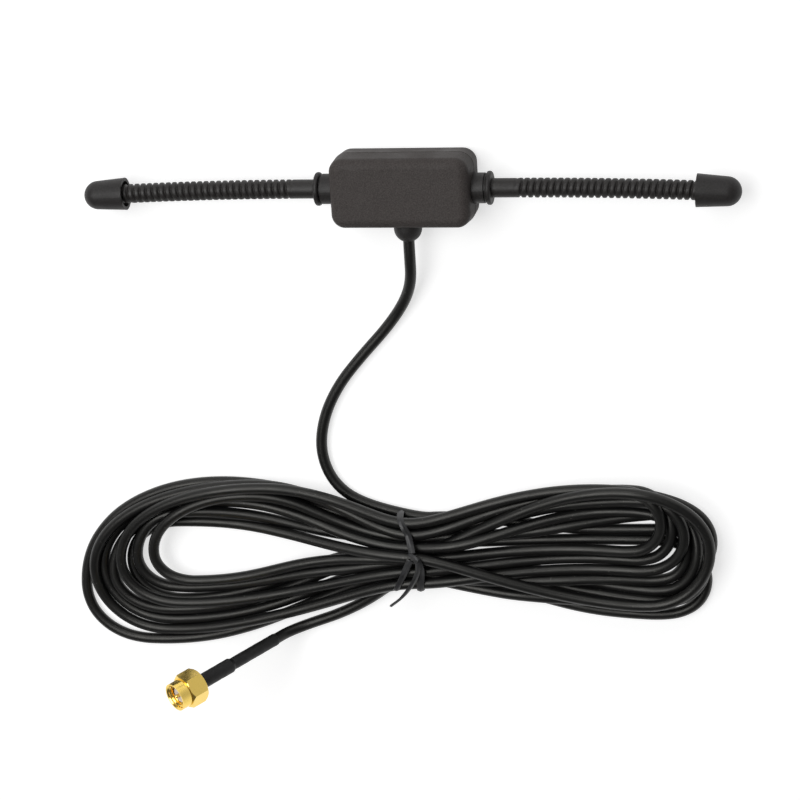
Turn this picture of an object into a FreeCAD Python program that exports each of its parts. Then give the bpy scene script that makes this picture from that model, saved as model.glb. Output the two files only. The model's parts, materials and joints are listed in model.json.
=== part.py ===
"""Cellular antenna: a small adhesive box with two ribbed arms, a tied coaxial cable and a screw-on plug.

Millimetres. X runs along the arms, Y away from the cable side, Z out of the front cover.
The underside of the release liner lies at Z = 0, with the origin at its centre.
"""
import FreeCAD, Part
import math
import os
import re
import Sketcher
from FreeCAD import Vector

SIZES = {
    # housing, measured at the seam between the two covers
    "housing_length": 34.4,
    "housing_width": 17.5,
    "front_depth": 7.2,
    "rear_depth": 6.0,
    "wall": 1.4,
    "corner_radius": 3.6,
    "front_draft": 3.5,
    "rear_draft": 2.5,
    "front_edge_radius": 2.4,
    "rear_edge_radius": 0.6,
    "seam_bevel": 0.2,
    "lip_height": 0.8,
    "lip_thickness": 0.6,
    "fit_gap": 0.05,
    # adhesive back
    "liner_thickness": 0.15,
    "pad_thickness": 1.0,
    "pad_margin": 0.9,
    # arms: their axis, collars, sleeves, elements and caps
    "axis_above_seam": 0.4,
    "neck_radius": 3.65,
    "neck_length": 2.6,
    "groove_radius": 3.15,
    "groove_width": 0.5,
    "bead_radius": 4.05,
    "bead_width": 1.2,
    "bead_edge_radius": 0.5,
    "collar_flange_radius": 4.0,
    "collar_flange_thickness": 1.2,
    "sleeve_radius": 2.3,
    "smooth_root": 5.9,
    "core_radius": 2.05,
    "rib_height": 0.3,
    "rib_width": 1.5,
    "rib_crest": 0.8,
    "rib_pitch": 1.6,
    "ribbed_length": 49.5,
    "bend_radius": 1000.0,
    "element_radius": 0.6,
    "element_start": 8.5,
    "element_end_gap": 1.0,
    "cap_mouth_radius": 3.95,
    "cap_tip_radius": 3.5,
    "cap_taper_length": 7.0,
    "cap_rim": 0.8,
    "cap_mouth_depth": 2.2,
    "cap_overlap": 7.2,
    # circuit board
    "board_length": 25.0,
    "board_width": 11.6,
    "board_shift": 0.3,
    "board_thickness": 0.8,
    "post_radius": 1.3,
    "post_inset": 1.9,
    "pin_radius": 0.6,
    "pin_height": 0.5,
    "solder_foot": 1.4,
    "solder_top": 0.8,
    "solder_height": 1.6,
    # cable and its gland
    "cable_radius": 1.4,
    "gland_offset": 0.5,
    "gland_radius": 3.4,
    "gland_straight": 0.9,
    "gland_neck_radius": 2.6,
    "gland_flange_radius": 3.6,
    "gland_flange_thickness": 1.0,
    "jacket_inside": 0.45,
    "braid_radius": 1.05,
    "dielectric_radius": 0.75,
    "conductor_radius": 0.25,
    "strip_step": 2.2,
    # hank: two lobes, a tied waist and the opening of the left lobe
    "hank_height": 8.6,
    "hank_edge_radius": 2.6,
    "left_lobe_radius": 23.0,
    "right_lobe_radius": 17.4,
    "opening_radius": 7.2,
    "waist_half": 10.4,
    "tie_width": 1.7,
    "tie_thickness": 0.8,
    "tie_corner": 2.2,
    "tie_tail_radius": 0.65,
    # plug, along its own axis from the rear end of the heat-shrink
    "plug_x": -40.6,
    "plug_y": -118.1,
    "plug_z": 7.5,
    "plug_heading": 195.1,
    "plug_pitch": 52.0,
    "plug_roll": 17.0,
    "shrink_wall": 0.12,
    "shrink_thin_length": 15.2,
    "shrink_thick_length": 10.0,
    "ferrule_wall": 0.28,
    "ferrule_length": 6.0,
    "stem_bore": 0.85,
    "nut_across_flats": 8.0,
    "nut_hex_length": 4.8,
    "nut_collar_length": 2.8,
    "nut_collar_radius": 3.65,
    "nut_corner_cut": 0.55,
    "thread_radius": 3.0,
    "mouth_bevel": 0.3,
    "journal_radius": 2.5,
    "journal_length": 2.7,
    "ring_slot": 1.0,
    "ring_thickness": 0.6,
    "ring_radius": 2.9,
    "ring_slot_depth": 0.25,
    "plug_web": 0.8,
    "spigot_radius": 2.3,
    "spigot_length": 2.5,
    "insulator_radius": 2.0,
    "pin_contact_radius": 0.46,
    "pin_reach": 1.2,
    "pin_bevel": 0.25,
    "pin_tail": 1.5,
    # how far a cutting profile runs past the metal
    "cut_overrun": 1.0,
}

BEND_SHARE = 0.45  # of the shorter run beside a corner, taken by the corner's arc
TOUCH = 1e-4  # lengths closer than this count as equal

# Points of the cable's route, chosen by hand; the lead starts inside the box, the tail ends inside the plug.
LEAD_ROUTE = [
    (0.5, -16.5, 7.55), (0.0, -23.5, 5.3), (-2.6, -29.6, 2.6), (-7.6, -36.4, 1.5),
    (-14.6, -43.8, 1.5), (-21.0, -51.4, 1.5), (-25.4, -60.0, 1.5), (-26.9, -69.0, 1.5),
    (-24.2, -77.2, 1.5), (-17.4, -82.6, 1.5), (-8.4, -85.0, 1.6),
]
TAIL_ROUTE = [
    (-9.0, -102.6, 3.6), (-16.2, -108.4, 1.9), (-24.4, -112.9, 1.5), (-32.8, -116.0, 1.5),
    (-38.1, -117.4, 4.2),
]
LEFT_LOBE = (-70.0, -99.2)
RIGHT_LOBE = (54.4, -92.7)
WAIST = (-4.4, -94.0)
OPENING = (-64.0, -96.4)
OPENING_TIP = (-28.0, -94.2)
TIE_TAIL = [
    (-4.4, -88.8, 8.5), (-4.4, -90.2, 9.4), (-2.6, -92.2, 9.9), (-1.2, -95.4, 9.9),
    (-2.6, -99.4, 9.7), (-5.8, -103.6, 9.3), (-9.4, -107.4, 8.4),
]
TIE_STUB = [(-4.4, -95.2, 8.5), (-4.4, -94.0, 9.4), (-3.0, -92.4, 10.2), (-1.4, -91.4, 11.2)]

doc = FreeCAD.newDocument("cellular_antenna")
sheet = doc.addObject("Spreadsheet::Sheet", "sizes")
for row, (alias, size) in enumerate(SIZES.items(), start=1):
    sheet.set(f"A{row}", alias)
    sheet.set(f"B{row}", str(size))
    sheet.setAlias(f"B{row}", alias)
doc.recompute()


def expr(text):
    """Text with each size's name turned into a reference to its cell."""
    return re.sub(r"[a-z][a-z_]+", lambda word: f"sizes.{word[0]}" if word[0] in SIZES else word[0], text)


def number(text):
    """The value of an expression over the sizes."""
    return float(sheet.evalExpression(expr(text)))


# Levels and stations that several pieces share, as expressions over the sizes.
BACK = "(liner_thickness + pad_thickness)"
SEAM = f"({BACK} + rear_depth)"
AXIS = f"({SEAM} + axis_above_seam)"
FLOOR = f"({BACK} + wall)"
BOARD_TOP = f"({AXIS} - braid_radius - 2 * fit_gap)"
BOARD_UNDER = f"({BOARD_TOP} - board_thickness)"
WALL_LEAN = "((axis_above_seam + collar_flange_radius) * tan(front_draft))"
COLLAR_SEAT = f"(housing_length / 2 - wall - {WALL_LEAN} - fit_gap)"
COLLAR_START = f"({COLLAR_SEAT} - collar_flange_thickness)"
NECK_END = "(housing_length / 2 + neck_length)"
COLLAR_END = f"({NECK_END} + groove_width + bead_width)"
BEND_START = f"({COLLAR_END} + smooth_root)"
RIB_RADIUS = "(core_radius + rib_height)"
CAP_ANGLE = "((ribbed_length - cap_overlap) / bend_radius * 180 / pi)"
GLAND_LEAN = "((axis_above_seam + gland_flange_radius) * tan(front_draft))"
GLAND_SEAT = f"(housing_width / 2 - wall - {GLAND_LEAN} - fit_gap)"
GLAND_START = f"({GLAND_SEAT} - gland_flange_thickness)"
JACKET_END = f"({GLAND_START} - jacket_inside)"
NUT_REAR = "(shrink_thin_length + shrink_thick_length + fit_gap)"
NUT_FRONT = f"({NUT_REAR} + nut_hex_length + nut_collar_length)"
STEM_REAR = "shrink_thin_length"
SOCKET_START = f"({NUT_REAR} + plug_web)"
SLOT_REAR = f"({NUT_REAR} + journal_length)"
SLOT_FRONT = f"({SLOT_REAR} + ring_slot)"
SPIGOT_END = f"({SLOT_FRONT} + spigot_length)"


def new_body(label, placement=None):
    body = doc.addObject("PartDesign::Body", label)
    body.Label = label
    if placement:
        body.setExpression("Placement", expr(placement))
    return body


def add_sketch(body, name, plane, offset=None):
    """A sketch on one of the body's own origin planes, raised along its normal."""
    sketch = body.newObject("Sketcher::SketchObject", f"{body.Name}_{name}")
    planes = {feature.Role: feature for feature in body.Origin.OriginFeatures}
    sketch.AttachmentSupport = [(planes[plane], "")]
    sketch.MapMode = "FlatFace"
    if offset:
        sketch.setExpression("AttachmentOffset.Base.z", expr(offset))
    return sketch


def hold(sketch, kind, geometry, point, text):
    """Binds one coordinate of a sketch point to an expression."""
    index = sketch.addConstraint(Sketcher.Constraint(kind, -1, 1, geometry, point, number(text)))
    sketch.setExpression(f"Constraints[{index}]", expr(text))


def draw_outline(sketch, corners, arcs=None):
    """A closed outline; arcs maps a side's number to its radius and the centre that the arc starts from."""
    arcs = arcs or {}
    spots = [Vector(number(across), number(up), 0) for across, up in corners]
    sides = []
    for side, start in enumerate(spots):
        end = spots[(side + 1) % len(spots)]
        if side not in arcs:
            sides.append((sketch.addGeometry(Part.LineSegment(start, end)), 1, 2))
            continue
        radius, across, up = arcs[side]
        centre = Vector(number(across), number(up), 0)
        turns_left = (start - centre).cross(end - centre).z > 0
        first, last = (start, end) if turns_left else (end, start)
        angles = [math.atan2(spot.y - centre.y, spot.x - centre.x) for spot in (first, last)]
        circle = Part.Circle(centre, Vector(0, 0, 1), number(radius))
        geometry = sketch.addGeometry(Part.ArcOfCircle(circle, angles[0], angles[1]))
        index = sketch.addConstraint(Sketcher.Constraint("Radius", geometry, number(radius)))
        sketch.setExpression(f"Constraints[{index}]", expr(radius))
        sides.append((geometry, 1, 2) if turns_left else (geometry, 2, 1))
    for side, (geometry, start, end) in enumerate(sides):
        following, following_start, _ = sides[(side + 1) % len(sides)]
        sketch.addConstraint(Sketcher.Constraint("Coincident", geometry, end, following, following_start))
        hold(sketch, "DistanceX", geometry, start, corners[side][0])
        hold(sketch, "DistanceY", geometry, start, corners[side][1])


def draw_circle(sketch, radius, across="0", up="0"):
    circle = Part.Circle(Vector(number(across), number(up), 0), Vector(0, 0, 1), number(radius))
    geometry = sketch.addGeometry(circle)
    index = sketch.addConstraint(Sketcher.Constraint("Radius", geometry, number(radius)))
    sketch.setExpression(f"Constraints[{index}]", expr(radius))
    hold(sketch, "DistanceX", geometry, 3, across)
    hold(sketch, "DistanceY", geometry, 3, up)


def draw_rounded(sketch, length, width, radius):
    """A rectangle with round corners about the sketch's origin."""
    across, up = f"({length}) / 2", f"({width}) / 2"
    inner_across, inner_up = f"({across} - ({radius}))", f"({up} - ({radius}))"
    corners = [
        (inner_across, f"-{up}"), (across, f"-{inner_up}"), (across, inner_up), (inner_across, up),
        (f"-{inner_across}", up), (f"-{across}", inner_up),
        (f"-{across}", f"-{inner_up}"), (f"-{inner_across}", f"-{up}"),
    ]
    arcs = {
        0: (radius, inner_across, f"-{inner_up}"),
        2: (radius, inner_across, inner_up),
        4: (radius, f"-{inner_across}", inner_up),
        6: (radius, f"-{inner_across}", f"-{inner_up}"),
    }
    draw_outline(sketch, corners, arcs)


def add_feature(body, kind, name, sketch, **settings):
    feature = body.newObject(f"PartDesign::{kind}", f"{body.Name}_{name}")
    feature.Profile = sketch
    for prop, setting in settings.items():
        if isinstance(setting, str) and prop != "Type":
            feature.setExpression(prop, expr(setting))
        else:
            setattr(feature, prop, setting)
    return feature


def revolve(body, name, corners, arcs=None, kind="Revolution"):
    """A profile in the body's XZ plane (along X, out from X) turned about its X axis."""
    sketch = add_sketch(body, name + "_profile", "XZ_Plane")
    draw_outline(sketch, corners, arcs)
    return add_feature(body, kind, name, sketch, ReferenceAxis=(sketch, ["H_Axis"]), Angle=360.0)


def edges_where(shape, test):
    return [f"Edge{index}" for index, edge in enumerate(shape.Edges, start=1) if test(edge)]


def dress(body, kind, name, test, prop, size):
    """A fillet or chamfer on the edges of the body's tip that pass the test."""
    doc.recompute()
    base = body.Tip
    feature = body.newObject(f"PartDesign::{kind}", f"{body.Name}_{name}")
    feature.Base = (base, edges_where(base.Shape, test))
    feature.setExpression(prop, expr(size))
    return feature


def lies_at(edge, height):
    box = edge.BoundBox
    return abs(box.ZMin - height) < TOUCH and abs(box.ZMax - height) < TOUCH


# Covers
def drill_cover(body):
    """The holes for the two arm collars and for the gland."""
    collars = add_sketch(body, "collar_holes", "YZ_Plane")
    draw_circle(collars, "neck_radius + fit_gap", "0", AXIS)
    add_feature(body, "Pocket", "collar_cut", collars, Type="ThroughAll", Midplane=True)
    gland = add_sketch(body, "gland_hole", "XZ_Plane")
    draw_circle(gland, "gland_neck_radius + fit_gap", "gland_offset", AXIS)
    add_feature(body, "Pocket", "gland_cut", gland, Type="ThroughAll", Reversed=True)


def outline_at_seam(body, name, inset, offset=SEAM):
    """The housing's outline, set in all round."""
    sketch = add_sketch(body, name, "XY_Plane", offset)
    length, width = (f"{side} - 2 * ({inset})" for side in ("housing_length", "housing_width"))
    draw_rounded(sketch, length, width, f"corner_radius - ({inset})")
    return sketch


def build_front_cover():
    body = new_body("front_cover")
    shell = outline_at_seam(body, "outline", "0")
    add_feature(body, "Pad", "shell", shell, Length="front_depth", TaperAngle="-front_draft")
    top = number(f"{SEAM} + front_depth")
    dress(body, "Fillet", "front_edge", lambda edge: lies_at(edge, top), "Radius", "front_edge_radius")
    seam = number(SEAM)
    dress(body, "Chamfer", "seam_line", lambda edge: lies_at(edge, seam), "Size", "seam_bevel")
    cavity = outline_at_seam(body, "cavity_outline", "wall")
    add_feature(body, "Pocket", "cavity", cavity, Length="front_depth - wall", TaperAngle="-front_draft",
                Reversed=True)
    lip = outline_at_seam(body, "lip_outline", "wall - lip_thickness")
    draw_rounded(lip, "housing_length - 2 * wall", "housing_width - 2 * wall", "corner_radius - wall")
    add_feature(body, "Pad", "lip", lip, Length="lip_height", Reversed=True)
    drill_cover(body)
    return body


def build_rear_cover():
    body = new_body("rear_cover")
    tray = outline_at_seam(body, "outline", "0")
    add_feature(body, "Pad", "tray", tray, Length="rear_depth", TaperAngle="-rear_draft", Reversed=True)
    back = number(BACK)
    dress(body, "Fillet", "rear_edge", lambda edge: lies_at(edge, back), "Radius", "rear_edge_radius")
    seam = number(SEAM)
    dress(body, "Chamfer", "seam_line", lambda edge: lies_at(edge, seam), "Size", "seam_bevel")
    cavity = outline_at_seam(body, "cavity_outline", "wall")
    add_feature(body, "Pocket", "cavity", cavity, Length="rear_depth - wall", TaperAngle="-rear_draft")
    rebate = outline_at_seam(body, "rebate_outline", "wall - lip_thickness - fit_gap")
    add_feature(body, "Pocket", "rebate", rebate, Length="lip_height + fit_gap")
    for name, radius, height in (
        ("post", "post_radius", f"{BOARD_UNDER} - {FLOOR}"),
        ("pin", "pin_radius", f"{BOARD_TOP} + pin_height - {FLOOR}"),
    ):
        posts = add_sketch(body, name + "_circles", "XY_Plane", FLOOR)
        for across in ("1", "-1"):
            for up in ("1", "-1"):
                draw_circle(posts, radius, f"{across} * (board_length / 2 - post_inset)",
                            f"board_shift + {up} * (board_width / 2 - post_inset)")
        add_feature(body, "Pad", name, posts, Length=height)
    drill_cover(body)
    return body


# Adhesive back
def build_sheet(label, base, thickness):
    body = new_body(label)
    inset = "rear_depth * tan(rear_draft) + rear_edge_radius + pad_margin"
    sketch = outline_at_seam(body, "outline", inset, base)
    add_feature(body, "Pad", "sheet", sketch, Length=thickness)
    return body


# Circuit board, carried on the rear cover's posts
def build_board():
    body = new_body("circuit_board")
    sketch = add_sketch(body, "outline", "XY_Plane", BOARD_UNDER)
    across, low, high = "board_length / 2", "board_shift - board_width / 2", "board_shift + board_width / 2"
    draw_outline(sketch, [(f"-{across}", low), (across, low), (across, high), (f"-{across}", high)])
    for side in ("1", "-1"):
        for up in ("1", "-1"):
            draw_circle(sketch, "pin_radius + fit_gap", f"{side} * (board_length / 2 - post_inset)",
                        f"board_shift + {up} * (board_width / 2 - post_inset)")
    add_feature(body, "Pad", "board", sketch, Length="board_thickness")
    return body


def solder_joint(name, across, along, wire_radius, wire_along_x):
    """A cone of solder on the board, cut by the wire that it holds."""
    cone = doc.addObject("Part::Cone", name + "_cone")
    cone.setExpression("Radius1", expr("solder_foot"))
    cone.setExpression("Radius2", expr("solder_top"))
    cone.setExpression("Height", expr("solder_height"))
    foot = f"vector({across}; {along}; {BOARD_TOP})"
    cone.setExpression("Placement", expr(f"placement({foot}; rotation(0; 0; 0))"))
    wire = doc.addObject("Part::Cylinder", name + "_wire")
    wire.setExpression("Radius", expr(wire_radius))
    wire.setExpression("Height", expr("4 * solder_foot"))
    turn = "rotation(0; 90; 0)" if wire_along_x else "rotation(0; 0; -90)"
    start = (f"{across} - 2 * solder_foot", along) if wire_along_x else (across, f"{along} - 2 * solder_foot")
    wire.setExpression("Placement", expr(f"placement(vector({start[0]}; {start[1]}; {AXIS}); {turn})"))
    joint = doc.addObject("Part::Cut", name)
    joint.Base = cone
    joint.Tool = wire
    return joint


def build_solder():
    element_spot = "element_start + solder_foot"
    braid_spot = "board_shift - board_width / 2 + solder_foot"
    core_spot = f"-{JACKET_END} + 2.5 * strip_step + solder_foot / 2"
    group = doc.addObject("Part::Compound", "solder_joints")
    group.Links = [
        solder_joint("solder_right", element_spot, "0", "element_radius", True),
        solder_joint("solder_left", f"-({element_spot})", "0", "element_radius", True),
        solder_joint("solder_braid", "gland_offset", braid_spot, "braid_radius", False),
        solder_joint("solder_core", "gland_offset", core_spot, "conductor_radius", False),
    ]
    group.Label = "solder_joints"
    return group


# Right arm; the left one is its mirror image
ALONG_ARM = f"placement(vector(0; 0; {AXIS}); rotation(0; 0; 0))"


def build_grommet():
    body = new_body("right_grommet", ALONG_ARM)
    bore = "sleeve_radius + fit_gap"
    revolve(body, "collar", [
        (COLLAR_START, bore), (COLLAR_END, bore), (COLLAR_END, "bead_radius"),
        (f"{NECK_END} + groove_width", "bead_radius"), (f"{NECK_END} + groove_width", "groove_radius"),
        (NECK_END, "groove_radius"), (NECK_END, "neck_radius"), (COLLAR_SEAT, "neck_radius"),
        (COLLAR_SEAT, "collar_flange_radius"), (COLLAR_START, "collar_flange_radius"),
    ])
    bead = number("bead_radius")
    start = number(f"{NECK_END} + groove_width / 2")

    def on_bead(edge):
        box = edge.BoundBox
        return box.XMin > start and box.XLength < TOUCH and abs(box.YMax - bead) < 10 * TOUCH
    dress(body, "Fillet", "bead_edge", on_bead, "Radius", "bead_edge_radius")
    return body


def add_bent_rod(body, radius, start, arc_length, core_radius=None, bore=False):
    """A rod along X from start to the bend, then round the bend; as a bore it cuts instead."""
    straight_kind, bent_kind = ("Pocket", "Groove") if bore else ("Pad", "Revolution")
    straight = add_sketch(body, straight_kind + "_straight", "YZ_Plane", start)
    draw_circle(straight, radius)
    add_feature(body, straight_kind, straight_kind + "_root", straight, Length=f"{BEND_START} - ({start})",
                Reversed=bore)
    bent = add_sketch(body, bent_kind + "_bent", "YZ_Plane", BEND_START)
    draw_circle(bent, core_radius or radius)
    centre = Vector(-number("bend_radius"), 0, 0)
    axis = bent.addGeometry(Part.LineSegment(centre, centre + Vector(0, 1, 0)), True)
    hold(bent, "DistanceX", axis, 1, "-bend_radius")
    bent.addConstraint(Sketcher.Constraint("Vertical", axis))
    add_feature(body, bent_kind, bent_kind + "_bend", bent, ReferenceAxis=(bent, ["Axis0"]),
                Angle=f"({arc_length}) / bend_radius * 180 / pi", Reversed=True)
    return bent


def build_sleeve():
    body = new_body("right_arm_sleeve", ALONG_ARM)
    bent = add_bent_rod(body, "sleeve_radius", COLLAR_START, "ribbed_length", "core_radius")
    root = "core_radius - rib_height"
    crest_start = f"{BEND_START} + (rib_width - rib_crest) / 2"
    rib = revolve(body, "rib", [
        (BEND_START, root), (f"{BEND_START} + rib_width", root),
        (f"{crest_start} + rib_crest", RIB_RADIUS), (crest_start, RIB_RADIUS),
    ])
    ribs = body.newObject("PartDesign::PolarPattern", "right_arm_sleeve_ribs")
    ribs.Originals = [rib]
    ribs.Axis = (bent, ["Axis0"])
    ribs.Reversed = True
    count = "floor((ribbed_length - rib_width) / rib_pitch)"
    ribs.setExpression("Occurrences", expr(f"{count} + 1"))
    ribs.setExpression("Angle", expr(f"{count} * rib_pitch / bend_radius * 180 / pi"))
    body.Tip = ribs
    add_bent_rod(body, "element_radius + fit_gap", COLLAR_START, "ribbed_length", bore=True)
    return body


def build_radiator():
    body = new_body("right_radiator", ALONG_ARM)
    add_bent_rod(body, "element_radius", "element_start", "ribbed_length - element_end_gap")
    return body


def build_cap():
    across = f"{BEND_START} + bend_radius * sin({CAP_ANGLE})"
    down = f"bend_radius * (cos({CAP_ANGLE}) - 1)"
    spot = f"vector({across}; {down}; {AXIS})"
    body = new_body("right_end_cap", f"placement({spot}; rotation(-{CAP_ANGLE}; 0; 0))")
    mouth, grip = "cap_mouth_radius - cap_rim", f"{RIB_RADIUS} + fit_gap"
    depth = "cap_overlap + fit_gap"
    tip = "cap_taper_length + cap_tip_radius"
    revolve(body, "cap", [
        ("0", mouth), ("cap_mouth_depth", mouth), ("cap_mouth_depth", grip), (depth, grip), (depth, "0"),
        (tip, "0"), ("cap_taper_length", "cap_tip_radius"), ("0", "cap_mouth_radius"),
    ], {5: ("cap_tip_radius", "cap_taper_length", "0")})
    return body


def build_mirrored(source, label):
    mirrored = doc.addObject("Part::Mirroring", label)
    mirrored.Label = label
    mirrored.Source = source
    mirrored.Base = Vector(0, 0, 0)
    mirrored.Normal = Vector(1, 0, 0)
    return mirrored


# Gland and stripped cable end; their X axis runs out of the box, towards -Y
OUT_OF_GLAND = f"placement(vector(gland_offset; 0; {AXIS}); rotation(-90; 0; 0))"


def build_gland():
    body = new_body("cable_gland", OUT_OF_GLAND)
    bore = "(cable_radius + fit_gap)"
    outside = "(housing_width / 2 + fit_gap)"
    dome = f"({outside} + gland_straight)"
    dome_end = f"({dome} + sqrt(gland_radius ^ 2 - {bore} ^ 2))"
    revolve(body, "gland", [
        (GLAND_START, bore), (dome_end, bore), (dome, "gland_radius"), (outside, "gland_radius"),
        (outside, "gland_neck_radius"), (GLAND_SEAT, "gland_neck_radius"),
        (GLAND_SEAT, "gland_flange_radius"), (GLAND_START, "gland_flange_radius"),
    ], {1: ("gland_radius", dome, "0")})
    return body


def build_stub(label, outer, inner, steps):
    """A bared layer of the cable, reaching a number of steps in from the end of the jacket."""
    body = new_body(label, OUT_OF_GLAND)
    start = f"{JACKET_END} - {steps} * strip_step"
    revolve(body, "stub", [(start, inner), (JACKET_END, inner), (JACKET_END, outer), (start, outer)])
    return body


# Cord
def tube(points, radius, label):
    """A round tube along straight runs joined by the largest tangent arcs that the runs allow."""
    spots = [Vector(*point) for point in points]
    edges = []
    radii = []
    last = spots[0]
    for before, corner, after in zip(spots, spots[1:], spots[2:]):
        back = (before - corner).normalize()
        ahead = (after - corner).normalize()
        half_turn = (math.pi - back.getAngle(ahead)) / 2
        reach = BEND_SHARE * min((before - corner).Length, (after - corner).Length)
        bend = reach / math.tan(half_turn)
        radii.append(bend)
        arc_start, arc_end = corner + back * reach, corner + ahead * reach
        inward = (back + ahead).normalize()
        arc_middle = corner + inward * (bend / math.cos(half_turn) - bend)
        edges.append(Part.LineSegment(last, arc_start).toShape())
        edges.append(Part.Arc(arc_start, arc_middle, arc_end).toShape())
        last = arc_end
    edges.append(Part.LineSegment(last, spots[-1]).toShape())
    path = Part.Wire(edges)
    section = Part.Wire(Part.Circle(spots[0], spots[1] - spots[0], radius).toShape())
    shape = path.makePipeShell([section], True, False)
    share = shape.Volume / (math.pi * radius ** 2 * path.Length)
    print(f"{label}: length {path.Length:.1f} mm, smallest arc {min(radii):.1f} mm, volume share {share:.4f}")
    print("  radii " + " ".join(f"{bend:.1f}" for bend in radii))
    return shape


def add_shape(label, shape):
    feature = doc.addObject("Part::Feature", label)
    feature.Label = label
    feature.Shape = shape
    return feature


def tangent_spots(centre, radius, outside):
    """Where the two lines from a point outside a circle touch it, the upper one first."""
    ahead = outside - centre
    swing = math.acos(radius / ahead.Length)
    heading = math.atan2(ahead.y, ahead.x)
    headings = (heading + swing, heading - swing)
    spots = [centre + Vector(math.cos(turn), math.sin(turn), 0) * radius for turn in headings]
    return sorted(spots, key=lambda spot: -spot.y)


def build_hank():
    left, right = Vector(*LEFT_LOBE, 0), Vector(*RIGHT_LOBE, 0)
    left_radius, right_radius = number("left_lobe_radius"), number("right_lobe_radius")
    waist_top = Vector(WAIST[0], WAIST[1] + number("waist_half"), 0)
    waist_low = Vector(WAIST[0], WAIST[1] - number("waist_half"), 0)
    left_top = tangent_spots(left, left_radius, waist_top)[0]
    left_low = tangent_spots(left, left_radius, waist_low)[1]
    right_top = tangent_spots(right, right_radius, waist_top)[0]
    right_low = tangent_spots(right, right_radius, waist_low)[1]
    outline = Part.Wire([
        Part.LineSegment(waist_top, left_top).toShape(),
        Part.Arc(left_top, left - Vector(left_radius, 0, 0), left_low).toShape(),
        Part.LineSegment(left_low, waist_low).toShape(),
        Part.LineSegment(waist_low, right_low).toShape(),
        Part.Arc(right_low, right + Vector(right_radius, 0, 0), right_top).toShape(),
        Part.LineSegment(right_top, waist_top).toShape(),
    ])
    middle = Vector(*OPENING, 0)
    hole_radius = number("opening_radius")
    tip = Vector(*OPENING_TIP, 0)
    hole_top, hole_low = tangent_spots(middle, hole_radius, tip)
    opening = Part.Wire([
        Part.LineSegment(tip, hole_top).toShape(),
        Part.Arc(hole_top, middle - Vector(hole_radius, 0, 0), hole_low).toShape(),
        Part.LineSegment(hole_low, tip).toShape(),
    ])
    height = number("hank_height")
    solid = Part.Face(outline).extrude(Vector(0, 0, height))
    rim = [edge for edge in solid.Edges if lies_at(edge, 0) or lies_at(edge, height)]
    solid = solid.makeFillet(number("hank_edge_radius"), rim)
    hole = Part.Face(opening).extrude(Vector(0, 0, height))
    groove = tie_band(number("fit_gap"), number("cut_overrun"))
    return add_shape("cable_hank", solid.cut([hole, groove]))


def tie_band(gap=0.0, overrun=0.0):
    """The tie's loop round the waist; with a gap and an overrun, the groove in the hank that it lies in."""
    middle = number("hank_height") / 2
    half_width = number("tie_width") / 2 + gap
    corner = number("tie_corner")

    def block(grown):
        half_y = number("waist_half") + grown
        half_z = middle + grown
        low = Vector(WAIST[0] - half_width, WAIST[1] - half_y, middle - half_z)
        box = Part.makeBox(2 * half_width, 2 * half_y, 2 * half_z, low)
        along = [edge for edge in box.Edges if edge.BoundBox.XLength > half_width]
        return box.makeFillet(corner, along)
    return block(overrun).cut(block(-number("tie_thickness") - gap))


def build_tie():
    radius = number("tie_tail_radius")
    tail = tube(TIE_TAIL, radius, "tie tail")
    stub = tube(TIE_STUB, radius, "tie stub")
    return add_shape("twist_tie", tie_band().fuse([tail, stub]).removeSplitter())


# Plug; the X axis of its pieces runs out of its open end
ALONG_PLUG = "placement(vector(plug_x; plug_y; plug_z); rotation(plug_heading; -plug_pitch; plug_roll))"


def build_heat_shrink():
    body = new_body("heat_shrink", ALONG_PLUG)
    thin_bore = "(cable_radius + fit_gap)"
    thick_bore = f"({thin_bore} + ferrule_wall + fit_gap)"
    end = "shrink_thin_length + shrink_thick_length"
    revolve(body, "sleeve", [
        ("0", thin_bore), (STEM_REAR, thin_bore), (STEM_REAR, thick_bore), (end, thick_bore),
        (end, f"{thick_bore} + shrink_wall"), (STEM_REAR, f"{thick_bore} + shrink_wall"),
        (f"{STEM_REAR} - 2 * ferrule_wall", f"{thin_bore} + shrink_wall"),
        ("0", f"{thin_bore} + shrink_wall"),
    ])
    return body


def build_ferrule():
    body = new_body("crimp_ferrule", ALONG_PLUG)
    bore = "(cable_radius + fit_gap)"
    start = f"{STEM_REAR} + fit_gap"
    revolve(body, "ferrule", [
        (start, bore), (f"{start} + ferrule_length", bore),
        (f"{start} + ferrule_length", f"{bore} + ferrule_wall"), (start, f"{bore} + ferrule_wall"),
    ])
    return body


def build_plug_body():
    body = new_body("plug_body", ALONG_PLUG)
    socket = "insulator_radius + fit_gap"
    slot = "journal_radius - ring_slot_depth"
    revolve(body, "barrel", [
        (STEM_REAR, "stem_bore"), (SOCKET_START, "stem_bore"), (SOCKET_START, socket), (SPIGOT_END, socket),
        (SPIGOT_END, "spigot_radius"), (f"{SLOT_FRONT} + spigot_length / 3", "spigot_radius"),
        (f"{SLOT_FRONT} + spigot_length / 3", "journal_radius"), (SLOT_FRONT, "journal_radius"),
        (SLOT_FRONT, slot), (SLOT_REAR, slot), (SLOT_REAR, "journal_radius"), (NUT_REAR, "journal_radius"),
        (NUT_REAR, "cable_radius"), (STEM_REAR, "cable_radius"),
    ])
    return body


def build_insulator():
    body = new_body("plug_insulator", ALONG_PLUG)
    bore = "pin_contact_radius + fit_gap"
    start = f"{SOCKET_START} + fit_gap"
    revolve(body, "insulator", [
        (start, bore), (SPIGOT_END, bore), (SPIGOT_END, "insulator_radius"), (start, "insulator_radius"),
    ])
    return body


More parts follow.
